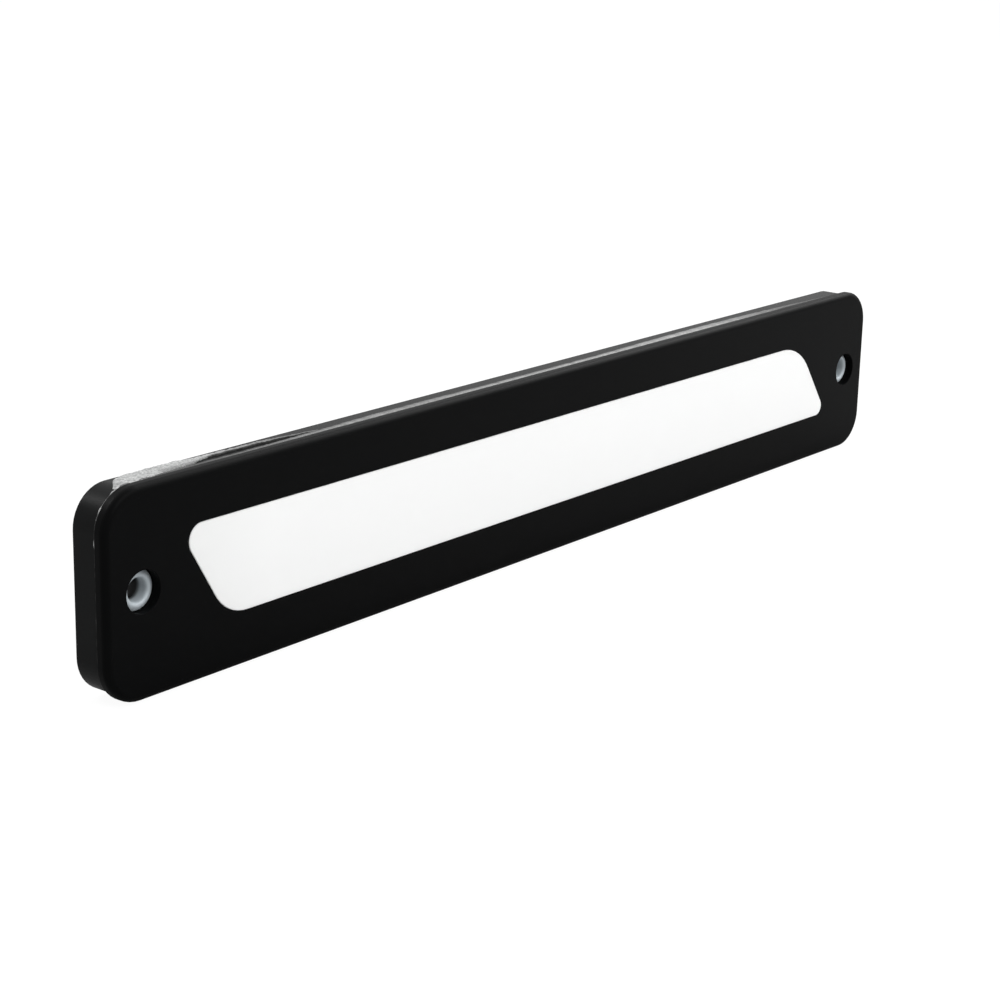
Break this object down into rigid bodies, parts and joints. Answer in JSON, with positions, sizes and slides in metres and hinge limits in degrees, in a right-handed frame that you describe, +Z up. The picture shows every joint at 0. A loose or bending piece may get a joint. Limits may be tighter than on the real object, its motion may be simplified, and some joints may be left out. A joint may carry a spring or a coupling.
{
  "type": "daytime running light",
  "caption": "Slim sealed daytime running light: a black rounded bar with a slanted opal window and a metal-bushed screw hole at each end.",
  "frame": {"origin": "on the flat back face, at the middle of the cover's length and height", "axes": "+X along the lamp, towards the right end seen from the front; +Y out of the back face; +Z up, across the lamp's height; the window faces -Y"},
  "size_m": [0.26, 0.009, 0.0402],
  "materials": {
    "cover_plastic": "fine satin, moulded black",
    "opal": "smooth opal white diffuser",
    "gasket": "soft black foam adhesive",
    "housing_metal": "fine satin black coat on die-cast metal",
    "sealant": "cured silver-grey sealant, speckled where it is squeezed out",
    "bushing_metal": "satin, rolled mouth",
    "grommet_rubber": "matte black",
    "white_plastic": "matte white reflector",
    "board": "white solder mask on an aluminium core",
    "heat_pad": "soft grey-blue silicone",
    "screw_steel": "plain zinc plate",
    "black_part": "moulded black epoxy",
    "ceramic_part": "tan ceramic with tinned ends",
    "tab_brass": "tinned brass",
    "led_package": "white package with a yellow phosphor cup"
  },
  "bodies": {
    "root": {"front_cover": "cover_plastic", "diffuser_lens": "opal", "lens_gasket": "gasket", "rear_housing": "housing_metal", "sealant_bead": "sealant", "left_bushing": "bushing_metal", "right_bushing": "bushing_metal", "cable_grommet": "grommet_rubber", "reflector_tray": "white_plastic", "led_board": "board", "thermal_pad": "heat_pad", "board_screws": "screw_steel", "driver_chip": "black_part", "reverse_diode": "black_part", "surge_diode": "black_part", "input_capacitor": "ceramic_part", "output_capacitor": "ceramic_part", "solder_tabs": "tab_brass", "led_01": "led_package", "led_02": "led_package", "led_03": "led_package", "led_04": "led_package", "led_05": "led_package", "led_06": "led_package", "led_07": "led_package", "led_08": "led_package", "led_09": "led_package", "led_10": "led_package", "led_11": "led_package", "led_12": "led_package", "led_13": "led_package", "led_14": "led_package", "led_15": "led_package", "led_16": "led_package", "led_17": "led_package", "led_18": "led_package", "ballast_resistor_1": "black_part", "ballast_resistor_2": "black_part", "ballast_resistor_3": "black_part", "ballast_resistor_4": "black_part", "ballast_resistor_5": "black_part", "ballast_resistor_6": "black_part"}
  },
  "joints": []
}
